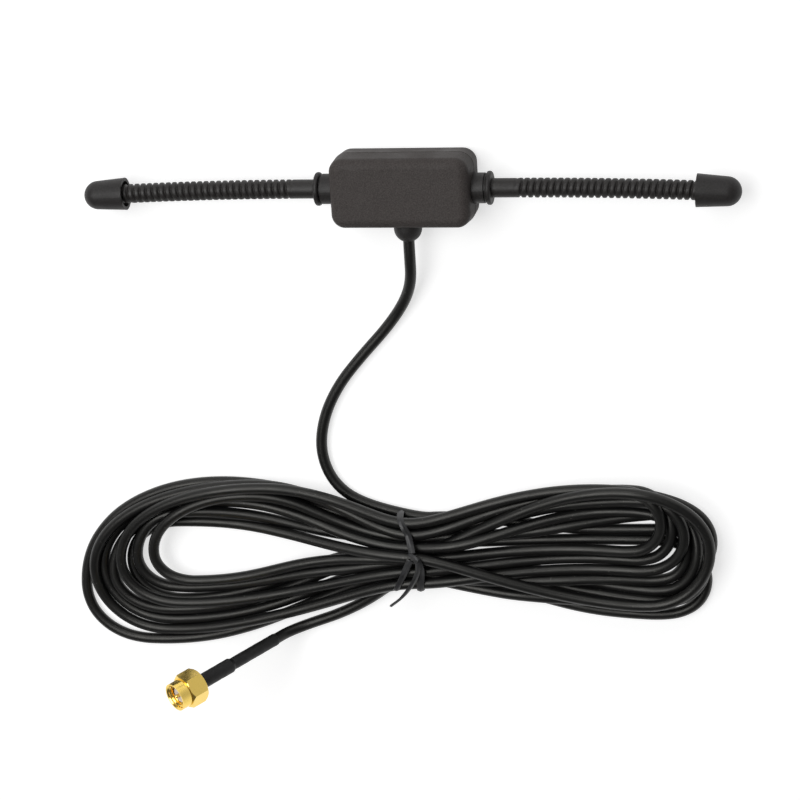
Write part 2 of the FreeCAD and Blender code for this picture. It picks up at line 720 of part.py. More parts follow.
def build_centre_pin():
    body = new_body("centre_pin", ALONG_PLUG)
    start, tip = f"{NUT_REAR} - pin_tail", f"{SPIGOT_END} + pin_reach"
    revolve(body, "pin", [
        (start, "0"), (tip, "0"), (tip, "pin_contact_radius - pin_bevel"),
        (f"{tip} - pin_bevel", "pin_contact_radius"), (start, "pin_contact_radius"),
    ])
    return body


def build_retaining_ring():
    body = new_body("retaining_ring", ALONG_PLUG)
    start = f"{SLOT_REAR} + (ring_slot - ring_thickness) / 2"
    inner = "journal_radius - ring_slot_depth + fit_gap"
    revolve(body, "ring", [
        (start, inner), (f"{start} + ring_thickness", inner),
        (f"{start} + ring_thickness", "ring_radius"), (start, "ring_radius"),
    ])
    return body


def build_nut():
    body = new_body("coupling_nut", ALONG_PLUG)
    corner = "(nut_across_flats / sqrt(3))"
    hexagon = add_sketch(body, "hexagon", "YZ_Plane", NUT_REAR)
    turns = range(0, 360, 60)
    draw_outline(hexagon, [(f"{corner} * cos({turn})", f"{corner} * sin({turn})") for turn in turns])
    add_feature(body, "Pad", "hex", hexagon, Length="nut_hex_length")
    collar_start = f"{NUT_REAR} + nut_hex_length"
    collar = add_sketch(body, "collar_circle", "YZ_Plane", collar_start)
    draw_circle(collar, "nut_collar_radius")
    add_feature(body, "Pad", "collar", collar, Length="nut_collar_length")
    flat = "(nut_across_flats / 2 + fit_gap)"
    outside = f"({corner} + cut_overrun)"
    for name, end, inward in (("front", collar_start, "-"), ("rear", NUT_REAR, "+")):
        revolve(body, name + "_corners", [
            (end, flat), (end, outside), (f"{end} {inward} nut_corner_cut", outside),
            (f"{end} {inward} nut_corner_cut", corner),
        ], kind="Groove")
    rear, front = f"{NUT_REAR} - cut_overrun", f"{NUT_FRONT} + cut_overrun"
    revolve(body, "bore", [
        (rear, "0"), (front, "0"), (front, "thread_radius + mouth_bevel"),
        (NUT_FRONT, "thread_radius + mouth_bevel"), (f"{NUT_FRONT} - mouth_bevel", "thread_radius"),
        (SLOT_REAR, "thread_radius"), (SLOT_REAR, "journal_radius + fit_gap"),
        (rear, "journal_radius + fit_gap"),
    ], kind="Groove")
    return body


plug_turn = FreeCAD.Rotation(number("plug_heading"), -number("plug_pitch"), number("plug_roll"))
plug_base = Vector(number("plug_x"), number("plug_y"), number("plug_z"))
cable_end = plug_base + plug_turn.multVec(Vector(number(f"{STEM_REAR} - fit_gap"), 0, 0))
lead_start = (number("gland_offset"), -number(JACKET_END), number(AXIS))

grommet, sleeve, radiator, cap = build_grommet(), build_sleeve(), build_radiator(), build_cap()
nodes = [
    build_front_cover(),
    build_rear_cover(),
    build_sheet("foam_pad", "liner_thickness", "pad_thickness"),
    build_sheet("release_liner", "0", "liner_thickness"),
    build_board(),
    build_solder(),
    grommet,
    sleeve,
    radiator,
    cap,
    build_mirrored(grommet, "left_grommet"),
    build_mirrored(sleeve, "left_arm_sleeve"),
    build_mirrored(radiator, "left_radiator"),
    build_mirrored(cap, "left_end_cap"),
    build_gland(),
    build_stub("coax_braid", "braid_radius", "dielectric_radius", 1),
    build_stub("coax_dielectric", "dielectric_radius", "conductor_radius", 2),
    build_stub("coax_centre", "conductor_radius", "0", 4),
    add_shape("cable_lead", tube([lead_start] + LEAD_ROUTE, number("cable_radius"), "lead")),
    build_hank(),
    add_shape("cable_tail", tube(TAIL_ROUTE + [tuple(cable_end)], number("cable_radius"), "tail")),
    build_tie(),
    build_heat_shrink(),
    build_ferrule(),
    build_plug_body(),
    build_insulator(),
    build_centre_pin(),
    build_retaining_ring(),
    build_nut(),
]
doc.recompute()

for item in doc.Objects:
    if "Invalid" in item.State or "Error" in item.State:
        raise RuntimeError(f"{item.Label} is {item.State}")
for node in nodes:
    if node.Shape.isNull() or not node.Shape.isValid():
        raise RuntimeError(f"{node.Label} has no valid shape")

os.makedirs("parts", exist_ok=True)
for node in nodes:
    node.Shape.exportStep(f"parts/{node.Label}.step")
    print(f"{node.Label}: {len(node.Shape.Solids)} solid, {node.Shape.Volume:.2f} mm3")
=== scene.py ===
"""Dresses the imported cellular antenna: ribbed arms, cable and hank, twist tie, plug and materials.

Stations and routes are in millimetres, as in the part's source. Every Blender object is in metres.
"""
import json
import math

import bpy
import numpy as np
from mathutils import Matrix, Vector


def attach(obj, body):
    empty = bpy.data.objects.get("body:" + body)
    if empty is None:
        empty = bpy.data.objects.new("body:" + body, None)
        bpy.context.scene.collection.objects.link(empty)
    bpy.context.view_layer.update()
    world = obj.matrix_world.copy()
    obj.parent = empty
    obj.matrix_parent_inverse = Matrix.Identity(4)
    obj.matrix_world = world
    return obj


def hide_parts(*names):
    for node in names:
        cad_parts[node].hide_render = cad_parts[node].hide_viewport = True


MM = 0.001
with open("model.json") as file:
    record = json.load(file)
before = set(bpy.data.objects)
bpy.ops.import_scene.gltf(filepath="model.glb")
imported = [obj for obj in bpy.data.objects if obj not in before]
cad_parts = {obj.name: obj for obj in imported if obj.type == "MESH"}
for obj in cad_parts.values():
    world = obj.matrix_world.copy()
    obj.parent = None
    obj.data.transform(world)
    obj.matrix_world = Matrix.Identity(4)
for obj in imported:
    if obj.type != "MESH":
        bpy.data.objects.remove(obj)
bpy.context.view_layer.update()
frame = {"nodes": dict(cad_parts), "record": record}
NODES = frame["nodes"]

# Levels, stations and sizes that the part's source also uses
AXIS_Z = 7.55  # height of the arms and of the cable's exit
SLEEVE_START = 14.3
BEND_START = 27.4  # where an arm starts to droop and its ribs begin
BEND_RADIUS = 1000.0
RIBBED_LENGTH = 49.5
SLEEVE_RADIUS = 2.3
RIB_RADIUS = 2.35
RIB_PITCH = 1.6
BORE_RADIUS = 0.65
CABLE_RADIUS = 1.4
PLUG_BASE = np.array([-40.6, -118.1, 7.5])
PLUG_HEADING = math.radians(195.1)
PLUG_PITCH = math.radians(52.0)
PLUG_AXIS = np.array([
    math.cos(PLUG_PITCH) * math.cos(PLUG_HEADING),
    math.cos(PLUG_PITCH) * math.sin(PLUG_HEADING),
    math.sin(PLUG_PITCH),
])
PLUG_SIDE = np.cross(PLUG_AXIS, [0, 0, 1])
PLUG_SIDE /= np.linalg.norm(PLUG_SIDE)
PLUG_TOP = np.cross(PLUG_SIDE, PLUG_AXIS)
# Stations along the plug's axis, from its base
CABLE_END = 15.15
SHRINK_STEP = 15.2
SHRINK_END = 25.2
THREAD_START = 29.3
NUT_FRONT = 32.85
THREAD_RADIUS = 3.0


# Materials

SHADER = "Principled BSDF"
PATCHES = 140.0  # cells per metre of the broad patches in a moulded surface's gloss


def new_material(name, color, roughness, metallic=0.0, **sockets):
    """A material with constant values set on its shader."""
    material = bpy.data.materials.new(name)
    material.use_nodes = True
    shader = material.node_tree.nodes[SHADER]
    shader.inputs["Base Color"].default_value = (*color, 1.0)
    shader.inputs["Roughness"].default_value = roughness
    shader.inputs["Metallic"].default_value = metallic
    for socket, value in sockets.items():
        shader.inputs[socket.replace("_", " ")].default_value = value
    return material


def noise(material, scale, detail, roughness=0.55, stretch=(1.0, 1.0, 1.0)):
    """Noise over the object's own coordinates; scale is in cells per metre."""
    tree = material.node_tree
    place = tree.nodes.new("ShaderNodeTexCoord")
    mapping = tree.nodes.new("ShaderNodeMapping")
    mapping.inputs["Scale"].default_value = stretch
    texture = tree.nodes.new("ShaderNodeTexNoise")
    texture.inputs["Scale"].default_value = scale
    texture.inputs["Detail"].default_value = detail
    texture.inputs["Roughness"].default_value = roughness
    tree.links.new(place.outputs["Object"], mapping.inputs["Vector"])
    tree.links.new(mapping.outputs["Vector"], texture.inputs["Vector"])
    return texture.outputs["Fac"]


def ramp_to(material, socket, value, stops):
    """A colour ramp from a value to one of the shader's sockets; stops are (place, colour)."""
    tree = material.node_tree
    node = tree.nodes.new("ShaderNodeValToRGB")
    while len(node.color_ramp.elements) < len(stops):
        node.color_ramp.elements.new(0.5)
    for element, (place, color) in zip(node.color_ramp.elements, stops):
        element.position = place
        element.color = (*color, 1.0)
    tree.links.new(value, node.inputs["Fac"])
    tree.links.new(node.outputs["Color"], tree.nodes[SHADER].inputs[socket])


def color_from(material, value, stops):
    ramp_to(material, "Base Color", value, stops)


def roughness_from(material, value, low, high):
    ramp_to(material, "Roughness", value, [(0.3, (low, low, low)), (0.7, (high, high, high))])


def bump_from(material, value, strength, depth):
    tree = material.node_tree
    node = tree.nodes.new("ShaderNodeBump")
    node.inputs["Strength"].default_value = strength
    node.inputs["Distance"].default_value = depth
    tree.links.new(value, node.inputs["Height"])
    tree.links.new(node.outputs["Normal"], tree.nodes[SHADER].inputs["Normal"])


def moulded(name, dark, light, roughness, grain, depth, gloss=0.5):
    """Moulded plastic or rubber: fine grain in its surface and colour, and patches in its gloss."""
    spread = 0.08
    material = new_material(name, dark, roughness, Specular_IOR_Level=gloss)
    fine = noise(material, grain, detail=3.0, roughness=0.6)
    broad = noise(material, PATCHES, detail=3.0)
    color_from(material, fine, [(0.30, dark), (0.72, light)])
    roughness_from(material, broad, roughness - spread, roughness + spread)
    bump_from(material, fine, 0.55, depth)
    return material


def metal(name, color, roughness, grain=900.0, depth=0.00001, stretch=(1.0, 1.0, 1.0)):
    """Metal with fine marks from its making."""
    material = new_material(name, color, roughness, metallic=1.0)
    marks = noise(material, grain, detail=3.0, roughness=0.6, stretch=stretch)
    roughness_from(material, marks, roughness * 0.75, roughness * 1.35)
    bump_from(material, marks, 0.25, depth)
    return material


def cable_jacket():
    """Glossy black jacket with faint drawing marks and specks of dust."""
    material = new_material(
        "cable_jacket", (0.004, 0.004, 0.0042), 0.40,
        Specular_IOR_Level=0.43, Specular_Tint=(1.0, 0.99, 0.94, 1.0),
    )
    fine = noise(material, 2600.0, detail=2.0)
    broad = noise(material, 160.0, detail=3.0)
    dust = noise(material, 1500.0, detail=0.0, roughness=0.3)
    color_from(material, dust, [
        (0.0, (0.0035, 0.0035, 0.0038)), (0.82, (0.006, 0.006, 0.006)), (0.86, (0.05, 0.05, 0.046)),
    ])
    roughness_from(material, broad, 0.33, 0.45)
    bump_from(material, fine, 0.12, 0.00001)
    return material


def tie_plastic():
    """Soft plastic drawn over the tie's wire, with uneven colour and gloss."""
    material = new_material("tie_plastic", (0.022, 0.022, 0.024), 0.42)
    fine = noise(material, 1800.0, detail=4.0)
    broad = noise(material, 420.0, detail=2.0)
    color_from(material, broad, [(0.3, (0.014, 0.014, 0.015)), (0.7, (0.030, 0.030, 0.032))])
    roughness_from(material, broad, 0.34, 0.52)
    bump_from(material, fine, 0.3, 0.00003)
    return material


# One material for each of the record's slots; grain is in cells per metre, depth in metres
MATERIALS = {
    "housing": moulded(
        "housing_plastic", (0.041, 0.0361, 0.0342), (0.085, 0.0751, 0.0718),
        roughness=0.55, grain=3400.0, depth=0.00003, gloss=0.12,
    ),
    "rubber": moulded(
        "collar_rubber", (0.014, 0.0128, 0.0125), (0.028, 0.0256, 0.025),
        roughness=0.50, grain=2600.0, depth=0.00002, gloss=0.32,
    ),
    "arm_rubber": moulded(
        "arm_rubber", (0.015, 0.0135, 0.013), (0.028, 0.0255, 0.0245),
        roughness=0.46, grain=2600.0, depth=0.00002, gloss=0.34,
    ),
    "foam": moulded(
        "foam", (0.012, 0.012, 0.012), (0.050, 0.050, 0.050),
        roughness=0.85, grain=2200.0, depth=0.00012,
    ),
    "liner": moulded(
        "liner_paper", (0.70, 0.66, 0.54), (0.80, 0.77, 0.67),
        roughness=0.42, grain=900.0, depth=0.00001,
    ),
    "board": moulded(
        "board_laminate", (0.012, 0.11, 0.04), (0.02, 0.18, 0.07),
        roughness=0.38, grain=1800.0, depth=0.00001,
    ),
    "solder": metal("solder", (0.66, 0.66, 0.64), roughness=0.26),
    "element_metal": metal(
        "element_metal", (0.58, 0.56, 0.53),
        roughness=0.30, grain=1500.0, stretch=(0.08, 1.0, 1.0),
    ),
    "braid": metal(
        "tinned_braid", (0.60, 0.58, 0.54), roughness=0.34, grain=4200.0, depth=0.00006,
    ),
    "dielectric": moulded(
        "dielectric", (0.74, 0.72, 0.68), (0.84, 0.82, 0.79),
        roughness=0.40, grain=1200.0, depth=0.00001,
    ),
    "copper": metal("copper", (0.80, 0.40, 0.24), roughness=0.28),
    "heat_shrink": moulded(
        "heat_shrink", (0.008, 0.008, 0.008), (0.014, 0.014, 0.014),
        roughness=0.50, grain=2400.0, depth=0.00002, gloss=0.36,
    ),
    "gold": metal(
        "gold_plating", (0.95, 0.68, 0.17), roughness=0.17, grain=1600.0, depth=0.000004,
    ),
    "insulator": moulded(
        "insulator", (0.78, 0.68, 0.62), (0.86, 0.79, 0.74),
        roughness=0.42, grain=1500.0, depth=0.00001,
    ),
    "cable_jacket": cable_jacket(),
    "tie_plastic": tie_plastic(),
}
for subpart in frame["record"]["subparts"]:
    node = NODES[subpart["node"]]
    node.data.materials.clear()
    node.data.materials.append(MATERIALS[subpart["material_slot"]])


# Meshes

def place_in_scene(piece):
    bpy.context.scene.collection.objects.link(piece)


def angles_round(around):
    return np.linspace(0, 2 * np.pi, around, endpoint=False)


def new_piece(name, vertices, faces, slot, body="antenna", smooth=True):
    """A mesh piece, given in millimetres, that rides on a body."""
    mesh = bpy.data.meshes.new(name)
    mesh.from_pydata([tuple(point) for point in np.asarray(vertices) * MM], [], faces)
    mesh.validate()
    mesh.polygons.foreach_set("use_smooth", [smooth] * len(mesh.polygons))
    piece = bpy.data.objects.new(name, mesh)
    place_in_scene(piece)
    mesh.materials.append(MATERIALS[slot])
    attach(piece, body)
    return piece


def ring_faces(rings, around, closed=False):
    """Quads between rings of points; closed joins the last ring to the first."""
    faces = []
    for ring in range(rings if closed else rings - 1):
        low, high = ring * around, (ring + 1) % rings * around
        for k in range(around):
            following = (k + 1) % around
            faces.append((low + k, low + following, high + following, high + k))
    return faces


# Arms

ARM_AROUND = 56
ROOT_RINGS, RIB_RINGS = 30, 400
GROOVE_WIDTH, GROOVE_DEPTH, GROOVE_EXTRA = 0.25, 0.42, 0.10
ROOT_END, RIBS_FROM = BEND_START - 0.8, BEND_START - 0.7  # rings are close together from here on
RISE_AHEAD, RISE_LENGTH = 0.4, 1.6  # the ribs rise over this length, from just ahead of the bend


def arm_ring(station, radii):
    """A ring about the right arm's axis, which runs along X and then droops on an arc."""
    angle = max(0.0, station - BEND_START) / BEND_RADIUS
    centre = np.array([
        min(station, BEND_START) + BEND_RADIUS * math.sin(angle), BEND_RADIUS * (math.cos(angle) - 1), AXIS_Z,
    ])
    across = np.array([math.sin(angle), math.cos(angle), 0.0])
    turns = angles_round(ARM_AROUND)
    spokes = np.cos(turns)[:, None] * across + np.sin(turns)[:, None] * [0, 0, 1]
    return centre + radii[:, None] * spokes


def ribbed_radii(station):
    """The sleeve's radius round a station: a smooth root, then wide ribs with narrow winding grooves."""
    wound = station - BEND_START + RIB_PITCH * angles_round(ARM_AROUND) / (2 * np.pi)
    nearest = np.abs((wound / RIB_PITCH + 0.5) % 1 - 0.5) * RIB_PITCH
    crown = 1 - (2 * nearest / RIB_PITCH) ** 2
    dip = np.exp(-(nearest / GROOVE_WIDTH) ** 2)
    ribbed = RIB_RADIUS - GROOVE_DEPTH * dip - GROOVE_EXTRA * crown * dip
    risen = np.clip((station - BEND_START + RISE_AHEAD) / RISE_LENGTH, 0, 1)
    return SLEEVE_RADIUS * (1 - risen) + ribbed * risen


def build_arm(side, label):
    """A ribbed sleeve with its bore; the left one mirrors the right."""
    end = BEND_START + RIBBED_LENGTH
    stations = np.r_[np.linspace(SLEEVE_START, ROOT_END, ROOT_RINGS), np.linspace(RIBS_FROM, end, RIB_RINGS)]
    rings = [arm_ring(station, ribbed_radii(station)) for station in stations]
    rings += [arm_ring(station, np.full(ARM_AROUND, BORE_RADIUS)) for station in (end, SLEEVE_START)]
    vertices = np.vstack(rings)
    faces = ring_faces(len(rings), ARM_AROUND, closed=True)
    if side < 0:
        vertices = vertices * [-1, 1, 1]
    else:
        faces = [face[::-1] for face in faces]
    piece = new_piece(f"{label}_ribbed_sleeve", vertices, faces, "arm_rubber")
    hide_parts(f"{label}_arm_sleeve")


build_arm(1, "right")
build_arm(-1, "left")


# Cable

LEAD_ROUTE = [
    (0.5, -5.6, 7.55), (0.5, -16.5, 7.55), (0.0, -23.5, 5.3), (-2.6, -29.6, 2.6), (-7.6, -36.4, 1.5),
    (-14.6, -43.8, 1.5), (-21.0, -51.4, 1.5), (-25.4, -60.0, 1.5), (-26.9, -69.0, 1.5),
    (-24.2, -77.2, 1.5), (-17.4, -82.6, 1.5),
]
TAIL_ROUTE = [
    (-9.0, -102.6, 3.6), (-16.2, -108.4, 1.9), (-24.4, -112.9, 1.5), (-32.8, -116.0, 1.5),
    (-38.1, -117.4, 4.2),
]
WAIST = (-4.4, -94.0)  # the middle of the tied bundle
TIED_HALF = 4.5  # half of the stretch that the tie holds
LOW, MIDDLE, HIGH, OVER = 2.2, 4.5, 6.8, 9.1  # layers of strands in the tie
# Each strand's offset across the waist and its height there: those that go right, and those that come back
OUTWARD = [
    (8.0, LOW), (4.8, LOW), (4.8, HIGH), (8.0, HIGH), (3.2, MIDDLE), (1.6, LOW), (0.0, OVER), (1.6, HIGH),
    (6.4, MIDDLE),
]
HOMEWARD = [
    (-4.8, LOW), (-8.0, HIGH), (-4.8, HIGH), (-1.6, HIGH), (-3.2, MIDDLE), (-1.6, LOW), (0.0, MIDDLE),
    (-6.4, MIDDLE), (-8.0, LOW),
]
# Each loop's far end, upper side, lower side, height, and how far its runs keep level at the waist
RIGHT_LOOPS = [
    ((69.2, -96.6), (59.2, -87.7), (59.7, -106.4), 2.5, 0.45),
    ((64.5, -88.3), (55.7, -78.8), (53.4, -97.7), 5.5, 0.20),
    ((61.9, -87.1), (53.3, -77.4), (52.9, -95.2), 4.6, 0.23),
    ((59.8, -83.4), (51.9, -75.8), (51.6, -92.1), 7.5, 0.17),
    ((67.7, -94.3), (60.1, -84.9), (57.9, -104.8), 2.8, 0.51),
    ((69.7, -100.5), (60.4, -90.5), (58.5, -110.0), 1.4, 0.10),
    ((71.2, -90.7), (50.0, -75.9), (55.1, -106.5), 9.5, 0.20),
    ((66.1, -91.3), (56.5, -82.7), (58.5, -100.9), 3.9, 0.24),
    ((70.0, -89.2), (43.7, -77.6), (51.6, -106.7), 1.6, 0.13),
]
CROSSED_LOOP = 6  # the right loop that goes round the other way, so that it crosses over the waist
LEFT_LOOPS = [
    ((-87.2, -101.0), (-50.0, -79.8), (-70.0, -116.7), 1.4, 0.25),
    ((-89.9, -102.2), (-43.7, -77.6), (-72.5, -118.6), 3.6, 0.17),
    ((-81.8, -99.7), (-42.2, -77.5), (-67.6, -110.4), 7.2, 0.23),
    ((-72.3, -96.3), (-47.0, -79.9), (-63.1, -103.9), 7.6, 0.58),
    ((-77.6, -98.2), (-65.7, -85.1), (-67.3, -106.8), 4.9, 0.56),
    ((-80.0, -99.1), (-67.7, -87.6), (-67.2, -110.2), 1.5, 0.41),
    ((-85.6, -103.8), (-50.0, -82.5), (-71.8, -113.1), 3.8, 0.28),
    ((-92.4, -109.5), (-51.2, -78.4), (-77.5, -121.7), 2.0, 0.23),
]
AT_SIDE = 0.45  # how far a run keeps level beside a loop's end, as a share of its way
RUN_POINTS, QUARTER_POINTS = 16, 12  # points of the draft in a run and in a quarter of a loop's end

STEP = 2.5  # between the points of a strand as it settles
ROUNDS = 420
GAP = 2 * CABLE_RADIUS + 0.04  # between the middles of strands that lie against each other
LOOK_EVERY, LOOK_PAST = 8, 2.0  # rounds between searches for near strands, and how far past the gap
OWN_POINTS = 5  # points of one strand that are closer along it than this don't push each other
JOINED_POINTS = 8  # points at the hank's ends that don't push the lead and the tail, which they join
DRAFT_PULL = (0.02, 0.02, 0.004)  # towards the draft, each round
PULL_LOST = 0.7  # share of that pull that is gone by the last round
SINK = 0.012  # each round
BENDING = ((1, 0.30), (3, 0.14))  # reach along the strand, in points, and stiffness over it
LENGTH_MEND = 0.25
PUSH_WAYS = (1.0, 1.0, 1.25)
PUSH_SHARE, PUSH_SPREAD = 0.85, 0.6


def level_run(start, end, leave, arrive):
    """A run that is level with X at both ends; leave and arrive are shares of its way."""
    t = np.linspace(0, 1, RUN_POINTS, endpoint=False)[:, None]
    way = np.array([end[0] - start[0], 0, 0])
    first, last = start + leave * way, end - arrive * way
    return (1 - t) ** 3 * start + 3 * (1 - t) ** 2 * t * first + 3 * (1 - t) * t ** 2 * last + t ** 3 * end


def loop_end(start, far, end):
    """Two quarter ellipses round a loop's far end."""
    t = np.linspace(0, np.pi / 2, QUARTER_POINTS, endpoint=False)[:, None]
    first = np.hstack([
        start[0] + (far[0] - start[0]) * np.sin(t), far[1] + (start[1] - far[1]) * np.cos(t),
    ])
    second = np.hstack([end[0] + (far[0] - end[0]) * np.cos(t), far[1] + (end[1] - far[1]) * np.sin(t)])
    flat = np.vstack([first, second])
    return np.hstack([flat, np.full((len(flat), 1), far[2])])


def at_waist(strand):
    return np.array([WAIST[0], WAIST[1] + strand[0], strand[1]])


def half_turn(start, loop, end, upper_first):
    """From the waist round one loop and back to the waist."""
    far, upper, lower, height, level = loop
    sides = [np.array([*upper, height]), np.array([*lower, height])]
    first, last = sides if upper_first else sides[::-1]
    return [
        level_run(start, first, level, AT_SIDE),
        loop_end(first, np.array([*far, height]), last),
        level_run(last, end, AT_SIDE, level),
    ]


def hank_draft():
    """The hank's turns before they settle: from the first strand at the waist to the last."""
    path = []
    for turn, loop in enumerate(RIGHT_LOOPS):
        start, end = at_waist(OUTWARD[turn]), at_waist(HOMEWARD[turn])
        path += half_turn(start, loop, end, turn != CROSSED_LOOP)
        if turn < len(LEFT_LOOPS):
            path += half_turn(end, LEFT_LOOPS[turn], at_waist(OUTWARD[turn + 1]), False)
    path.append(at_waist(HOMEWARD[-1])[None])
    return np.vstack(path)


def even_steps(path):
    """Points along a path, about a step apart."""
    walked = np.r_[0, np.cumsum(np.linalg.norm(np.diff(path, axis=0), axis=1))]
    stops = np.linspace(0, walked[-1], int(round(walked[-1] / STEP)) + 1)
    return np.stack([np.interp(stops, walked, path[:, k]) for k in range(3)], axis=1)


def near_pairs(points, count):
    """Pairs of points that may touch; the first count points are the hank's, the others are held."""
    square = (points ** 2).sum(1)
    apart = square[:, None] + square[None] - 2 * points @ points.T
    one, other = np.nonzero(np.triu(apart < (GAP + LOOK_PAST) ** 2, OWN_POINTS))
    joined = (one < JOINED_POINTS) | (one > count - JOINED_POINTS)
    loose = (one < count) & ~(joined & (other >= count))
    return one[loose], other[loose]


def bend_smoothly(points, draft, free):
    """Spreads each move away from the draft along the strand, as a stiff cable does."""
    for reach, stiffness in BENDING:
        line = points - draft
        curve = np.zeros_like(line)
        curve[reach:-reach] = 0.5 * (line[2 * reach:] + line[:-2 * reach]) - line[reach:-reach]
        change = np.zeros_like(line)
        change[reach:-reach] = 0.5 * (curve[2 * reach:] + curve[:-2 * reach]) - curve[reach:-reach]
        points -= stiffness * change * free


def keep_length(points, free):
    """Draws neighbours along the strand back towards a step apart."""
    for first in (np.arange(0, len(points) - 1, 2), np.arange(1, len(points) - 1, 2)):
        link = points[first + 1] - points[first]
        long = np.linalg.norm(link, axis=1, keepdims=True)
        mend = LENGTH_MEND * (long - STEP) / long * link
        points[first] += mend * free[first]
        points[first + 1] -= mend * free[first + 1]


def push_apart(points, pairs, free):
    """Pushes strands off each other where they are closer than the gap."""
    one, other = pairs
    between = points[other] - points[one]
    long = np.linalg.norm(between, axis=1)
    hit = long < GAP
    push = (0.5 * (GAP - long[hit]) / long[hit])[:, None] * between[hit] * PUSH_WAYS
    total, count = np.zeros_like(points), np.zeros(len(points))
    for pushed, way in ((one[hit], -push), (other[hit], push)):
        np.add.at(total, pushed, way)
        np.add.at(count, pushed, 1)
    points += PUSH_SHARE * total / np.maximum(count, 1)[:, None] ** PUSH_SPREAD * free


def settle(path, held):
    """Lets the strands sink and push each other apart, bending smoothly from the draft.

    The tied strands stay where they are, and so do the held points: the lead and the tail beside the hank.
    """
    hank = even_steps(path)
    count = len(hank)
    points = np.vstack([hank, held])
    draft = points.copy()
    free = np.abs(points[:, 0] - WAIST[0]) > TIED_HALF
    free[count:] = False
    free = free.astype(float)[:, None]
    for turn in range(ROUNDS):
        if turn % LOOK_EVERY == 0:
            pairs = near_pairs(points, count)
        points += (draft - points) * DRAFT_PULL * (1 - PULL_LOST * turn / ROUNDS) * free
        points[:, 2] -= SINK * free[:, 0]
        bend_smoothly(points[:count], draft[:count], free[:count])
        keep_length(points[:count], free[:count])
        push_apart(points, pairs, free)
        points[:, 2] = np.maximum(points[:, 2], CABLE_RADIUS)
    return points[:count]


def build_cable():
    """The whole cable as one spline: the lead, the hank's turns, and the tail up to the plug."""
    beside = np.vstack([even_steps(np.array(LEAD_ROUTE[-4:])), even_steps(np.array(TAIL_ROUTE[:4]))])
    hank = settle(hank_draft(), beside)[1:-1:2]
    plug_in = [PLUG_BASE + PLUG_AXIS * station for station in (0.0, 0.5 * CABLE_END, CABLE_END)]
    route = np.vstack([LEAD_ROUTE, hank, TAIL_ROUTE, plug_in])
    curve = bpy.data.curves.new("cable", "CURVE")
    curve.dimensions = "3D"
    spline = curve.splines.new("NURBS")
    spline.points.add(len(route) - 1)
    for point, place in zip(spline.points, route * MM):
        point.co = (*place, 1.0)
    spline.order_u = 3
    spline.use_endpoint_u = True
    spline.resolution_u = 6
    spline.use_smooth = True
    curve.bevel_depth = CABLE_RADIUS * MM
    curve.bevel_resolution = 6
    curve.use_fill_caps = True
    curve.materials.append(MATERIALS["cable_jacket"])
    cable = bpy.data.objects.new("cable", curve)
    place_in_scene(cable)
    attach(cable, "antenna")
    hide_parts("cable_lead", "cable_hank", "cable_tail")
    return cable


cable = build_cable()


# Twist tie

TIE_MIDDLE = np.array([0.0, WAIST[1], 4.7])
# Over the front from the knot, round the top edge, under the bundle, round the lower edge, up the left leg
TIE_LOOP = [
    (-2.6, -92.3, 10.9), (-3.2, -90.4, 9.7), (-3.9, -88.2, 8.8), (-4.9, -86.2, 8.6), (-5.8, -84.7, 7.7),
    (-6.3, -84.1, 5.6), (-6.6, -84.1, 3.0), (-6.6, -84.8, 1.0), (-6.5, -87.5, 0.42), (-6.6, -94.0, 0.42),
    (-7.2, -100.5, 0.42), (-7.8, -103.2, 1.0), (-8.2, -104.0, 3.0), (-8.3, -104.0, 6.0),
    (-7.9, -103.2, 7.9), (-7.0, -101.6, 8.6), (-5.6, -98.8, 9.0), (-4.2, -96.0, 10.2), (-3.2, -94.0, 10.9),
]
# From the knot down the right leg, round the lower edge and under the bundle
TIE_SECOND = [
    (-2.2, -92.9, 11.2), (-1.2, -94.4, 11.1), (-0.8, -96.4, 10.2), (-1.1, -99.2, 9.0), (-1.5, -101.8, 8.6),
    (-1.8, -103.3, 7.7), (-2.0, -104.0, 5.6), (-2.2, -104.0, 3.0), (-2.6, -103.2, 1.0), (-3.2, -100.0, 0.42),
    (-4.0, -93.0, 0.42), (-4.4, -88.0, 0.42), (-4.6, -86.0, 0.42),
]
# The two ends that stick out of the knot
TIE_END = [
    (-2.8, -93.2, 11.4), (-1.8, -93.2, 11.9), (-1.1, -94.8, 11.9), (-1.6, -97.4, 11.0), (-3.0, -100.4, 10.1),
    (-4.8, -103.0, 9.3), (-6.8, -105.4, 8.5), (-9.6, -107.8, 7.8),
]
TIE_STUB = [(-3.6, -92.7, 10.9), (-2.6, -92.6, 11.6), (-1.6, -92.9, 12.2), (-0.8, -93.5, 12.5)]
# Each stretch of tape with its width and its thickness
TIE_TAPES = ((TIE_LOOP, 1.7, 0.72), (TIE_SECOND, 1.7, 0.72), (TIE_END, 1.3, 0.72), (TIE_STUB, 1.1, 0.7))
TAPE_AROUND, TAPE_SAMPLES = 20, 8
TAPE_FLAT, TAPE_WIRE = 0.45, 0.55  # shares of the thickness in the flat tape and over its wire
WIRE_SPREAD = 0.26  # of the width


def smooth_path(points):
    """A smooth line through given points."""
    points = np.asarray(points, float)
    padded = np.vstack([2 * points[0] - points[1], points, 2 * points[-1] - points[-2]])
    t = np.linspace(0, 1, TAPE_SAMPLES, endpoint=False)[:, None]
    out = []
    for a, b, c, d in zip(padded, padded[1:], padded[2:], padded[3:]):
        square, cube = 2 * a - 5 * b + 4 * c - d, 3 * b - a - 3 * c + d
        out.append(0.5 * (2 * b + (c - a) * t + square * t ** 2 + cube * t ** 3))
    return np.vstack(out + [points[-1:]])


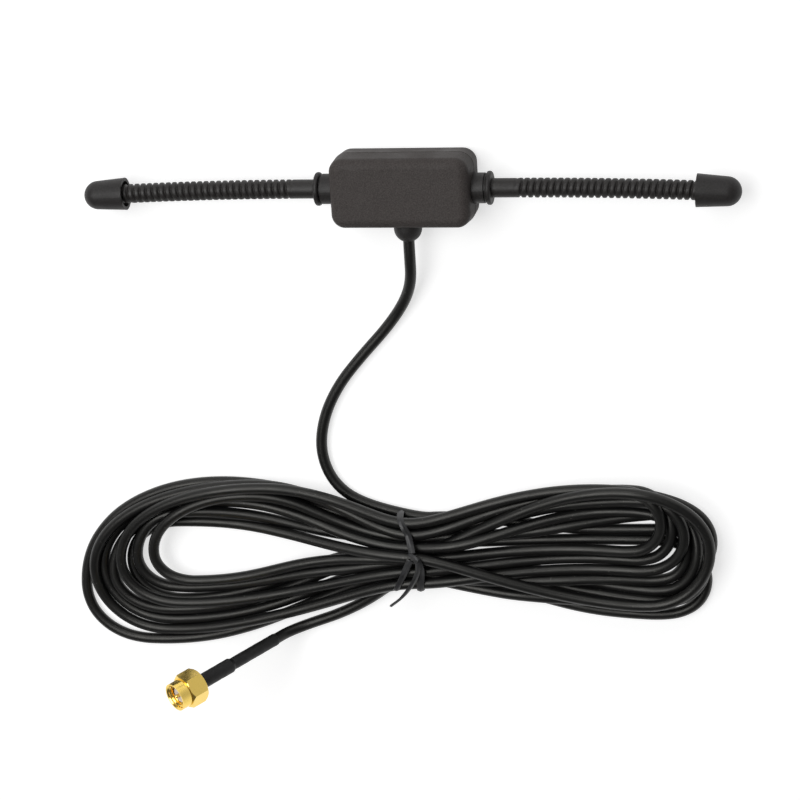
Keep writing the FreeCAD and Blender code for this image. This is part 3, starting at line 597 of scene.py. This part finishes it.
def band(points, width, thickness):
    """A flat tape with a wire in its middle, its flat side against the bundle."""
    path = smooth_path(points)
    tangents = np.gradient(path, axis=0)
    tangents /= np.linalg.norm(tangents, axis=1, keepdims=True)
    out = path - TIE_MIDDLE
    out[:, 0] = 0
    out -= tangents * (out * tangents).sum(1, keepdims=True)
    out /= np.linalg.norm(out, axis=1, keepdims=True)
    sides = np.cross(tangents, out)
    turns = angles_round(TAPE_AROUND)
    across = 0.5 * width * np.cos(turns)
    bulge = 0.5 * thickness * (TAPE_FLAT + TAPE_WIRE * np.exp(-(across / (WIRE_SPREAD * width)) ** 2))
    height = bulge * np.sign(np.sin(turns)) * np.abs(np.sin(turns)) ** 0.5
    rings = path[:, None] + across[None, :, None] * sides[:, None] + height[None, :, None] * out[:, None]
    faces = [face[::-1] for face in ring_faces(len(path), TAPE_AROUND)]
    last = (len(path) - 1) * TAPE_AROUND
    faces += [tuple(range(TAPE_AROUND)), tuple(range(last + TAPE_AROUND - 1, last - 1, -1))]
    return rings.reshape(-1, 3), faces


def build_tie():
    vertices, faces, count = [], [], 0
    for points, width, thickness in TIE_TAPES:
        more, sides = band(points, width, thickness)
        vertices.append(more)
        faces += [tuple(count + corner for corner in face) for face in sides]
        count += len(more)
    tie = new_piece("tie_tape", np.vstack(vertices), faces, "tie_plastic")
    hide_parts("twist_tie")
    return tie


tie = build_tie()


# Plug

def build_heat_shrink():
    """A shrunk sleeve: close on the cable, then over the ferrule, with a soft shoulder and rolled ends."""
    around, rings_along = 48, 160
    thin, thick, bore, wide_bore = 1.57, 1.90, 1.45, 1.78
    shoulder, roll_depth, roll_length, ripple = 0.9, 0.10, 0.12, 0.02
    stations = np.linspace(0, SHRINK_END, rings_along)
    rise = np.clip((stations - (SHRINK_STEP - shoulder)) / shoulder, 0, 1)
    radii = thin + (thick - thin) * rise ** 2 * (3 - 2 * rise)
    for from_end in (stations, SHRINK_END - stations):
        radii = radii - roll_depth * np.exp(-from_end / roll_length)
    radii += ripple * np.sin(stations * 1.9) * np.sin(stations * 0.7 + 1.0)
    stations = np.r_[stations, SHRINK_END, SHRINK_STEP, SHRINK_STEP, 0.0]
    radii = np.r_[radii, wide_bore, wide_bore, bore, bore]
    turns = angles_round(around)
    spokes = np.cos(turns)[:, None] * PLUG_SIDE + np.sin(turns)[:, None] * PLUG_TOP
    rings = [PLUG_BASE + PLUG_AXIS * station + radius * spokes for station, radius in zip(stations, radii)]
    faces = ring_faces(len(rings), around, closed=True)
    piece = new_piece("shrunk_sleeve", np.vstack(rings), faces, "heat_shrink")
    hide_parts("heat_shrink")
    return piece


def build_thread():
    """The nut's inner thread: a ridge that winds along its bore."""
    pitch, per_turn, mouth = 0.7, 48, 0.5
    root, crest = THREAD_RADIUS + 0.02, THREAD_RADIUS - 0.30
    profile = ((-0.33, root), (-0.06, crest), (0.06, crest), (0.33, root))
    turns = (NUT_FRONT - mouth - THREAD_START) / pitch
    rings = []
    for angle in np.linspace(0, 2 * np.pi * turns, int(turns * per_turn)):
        spoke = math.cos(angle) * PLUG_SIDE + math.sin(angle) * PLUG_TOP
        station = THREAD_START + pitch * angle / (2 * np.pi)
        rings.append([
            PLUG_BASE + PLUG_AXIS * (station + along) + spoke * radius for along, radius in profile
        ])
    faces = ring_faces(len(rings), len(profile))
    last = len(profile) * (len(rings) - 1)
    faces += [(3, 2, 1, 0), (last, last + 1, last + 2, last + 3)]
    return new_piece("nut_thread", np.vstack(rings), faces, "gold", "nut", smooth=False)


shrink = build_heat_shrink()
thread = build_thread()


# Stage: sizes and places in metres from here on

WHITE = (1.0, 1.0, 1.0, 1.0)
FLOOR_HALF, FLOOR_Z = 6.0, -0.00005
FLOOR_GREY, FLOOR_GLOW = 0.55, 0.66  # the glow makes it white to the camera and in reflections
WORLD_LIGHT = 0.12
HORIZON = 0.5  # height at which the world's white has faded in reflections
LAMP_AIM = (0.0, -0.05, 0.0)
# Fitted to the photograph, with the place in millimetres
CAMERA_PLACE = (132.99, 137.64, 578.48)
CAMERA_RIGHT = (0.97496519, -0.05844019, -0.21454051)
CAMERA_UP = (-0.01225242, 0.94925931, -0.31425569)
CAMERA_BACK = (0.22201973, 0.30901699, 0.92477875)
LENS, SENSOR = 113.4, 36.0


def join(tree, operation, first, second):
    """A math node over an output and an output or a number."""
    node = tree.nodes.new("ShaderNodeMath")
    node.operation = operation
    tree.links.new(first, node.inputs[0])
    if isinstance(second, float):
        node.inputs[1].default_value = second
    else:
        tree.links.new(second, node.inputs[1])
    return node.outputs["Value"]


def build_floor():
    mesh = bpy.data.meshes.new("floor")
    corners = [(x * FLOOR_HALF, y * FLOOR_HALF, 0) for x, y in ((-1, -1), (1, -1), (1, 1), (-1, 1))]
    mesh.from_pydata(corners, [], [(0, 1, 2, 3)])
    floor = bpy.data.objects.new("floor", mesh)
    floor.location.z = FLOOR_Z
    place_in_scene(floor)
    material = new_material("floor_white", (FLOOR_GREY, FLOOR_GREY, FLOOR_GREY), 0.9, Specular_IOR_Level=0.0)
    tree = material.node_tree
    shader = tree.nodes[SHADER]
    path = tree.nodes.new("ShaderNodeLightPath")
    seen = path.outputs["Is Camera Ray"]
    for ray in ("Is Glossy Ray", "Is Transmission Ray"):
        seen = join(tree, "MAXIMUM", seen, path.outputs[ray])
    tree.links.new(join(tree, "MULTIPLY", seen, FLOOR_GLOW), shader.inputs["Emission Strength"])
    shader.inputs["Emission Color"].default_value = WHITE
    mesh.materials.append(material)


def add_lamp(name, place, size, power):
    lamp = bpy.data.lights.new(name, "AREA")
    lamp.shape = "RECTANGLE"
    lamp.size, lamp.size_y = size
    lamp.energy = power
    holder = bpy.data.objects.new(name, lamp)
    place_in_scene(holder)
    holder.location = place
    holder.rotation_euler = (Vector(LAMP_AIM) - Vector(place)).to_track_quat("-Z", "Y").to_euler()


def build_world():
    """White to the camera; in reflections white at the horizon, where the floor ends, and dim overhead."""
    world = bpy.data.worlds.new("studio")
    bpy.context.scene.world = world
    world.use_nodes = True
    tree = world.node_tree
    background = tree.nodes["Background"]
    background.inputs["Color"].default_value = WHITE
    place = tree.nodes.new("ShaderNodeTexCoord")
    split = tree.nodes.new("ShaderNodeSeparateXYZ")
    fade = tree.nodes.new("ShaderNodeMapRange")
    fade.inputs["From Max"].default_value = HORIZON
    fade.inputs["To Min"].default_value = 1.0
    fade.inputs["To Max"].default_value = 0.0
    tree.links.new(place.outputs["Generated"], split.inputs["Vector"])
    tree.links.new(split.outputs["Z"], fade.inputs["Value"])
    path = tree.nodes.new("ShaderNodeLightPath")
    mirrored = join(tree, "MAXIMUM", path.outputs["Is Glossy Ray"], path.outputs["Is Transmission Ray"])
    mirrored = join(tree, "MULTIPLY", mirrored, fade.outputs["Result"])
    seen = join(tree, "MAXIMUM", path.outputs["Is Camera Ray"], mirrored)
    tree.links.new(join(tree, "MAXIMUM", seen, WORLD_LIGHT), background.inputs["Strength"])


def build_camera():
    camera = bpy.data.cameras.new("camera")
    camera.sensor_width = SENSOR
    camera.lens = LENS
    holder = bpy.data.objects.new("camera", camera)
    place_in_scene(holder)
    turn = Matrix((CAMERA_RIGHT, CAMERA_UP, CAMERA_BACK)).transposed().to_4x4()
    holder.matrix_world = Matrix.Translation(Vector(CAMERA_PLACE) * MM) @ turn
    bpy.context.scene.camera = holder


build_floor()
build_world()
add_lamp("key", (-0.35, 0.22, 1.05), (0.8, 0.7), 8.4)
add_lamp("rear", (-0.15, 1.05, 0.75), (1.2, 0.5), 4.2)
build_camera()
bpy.context.scene.view_settings.view_transform = "Standard"
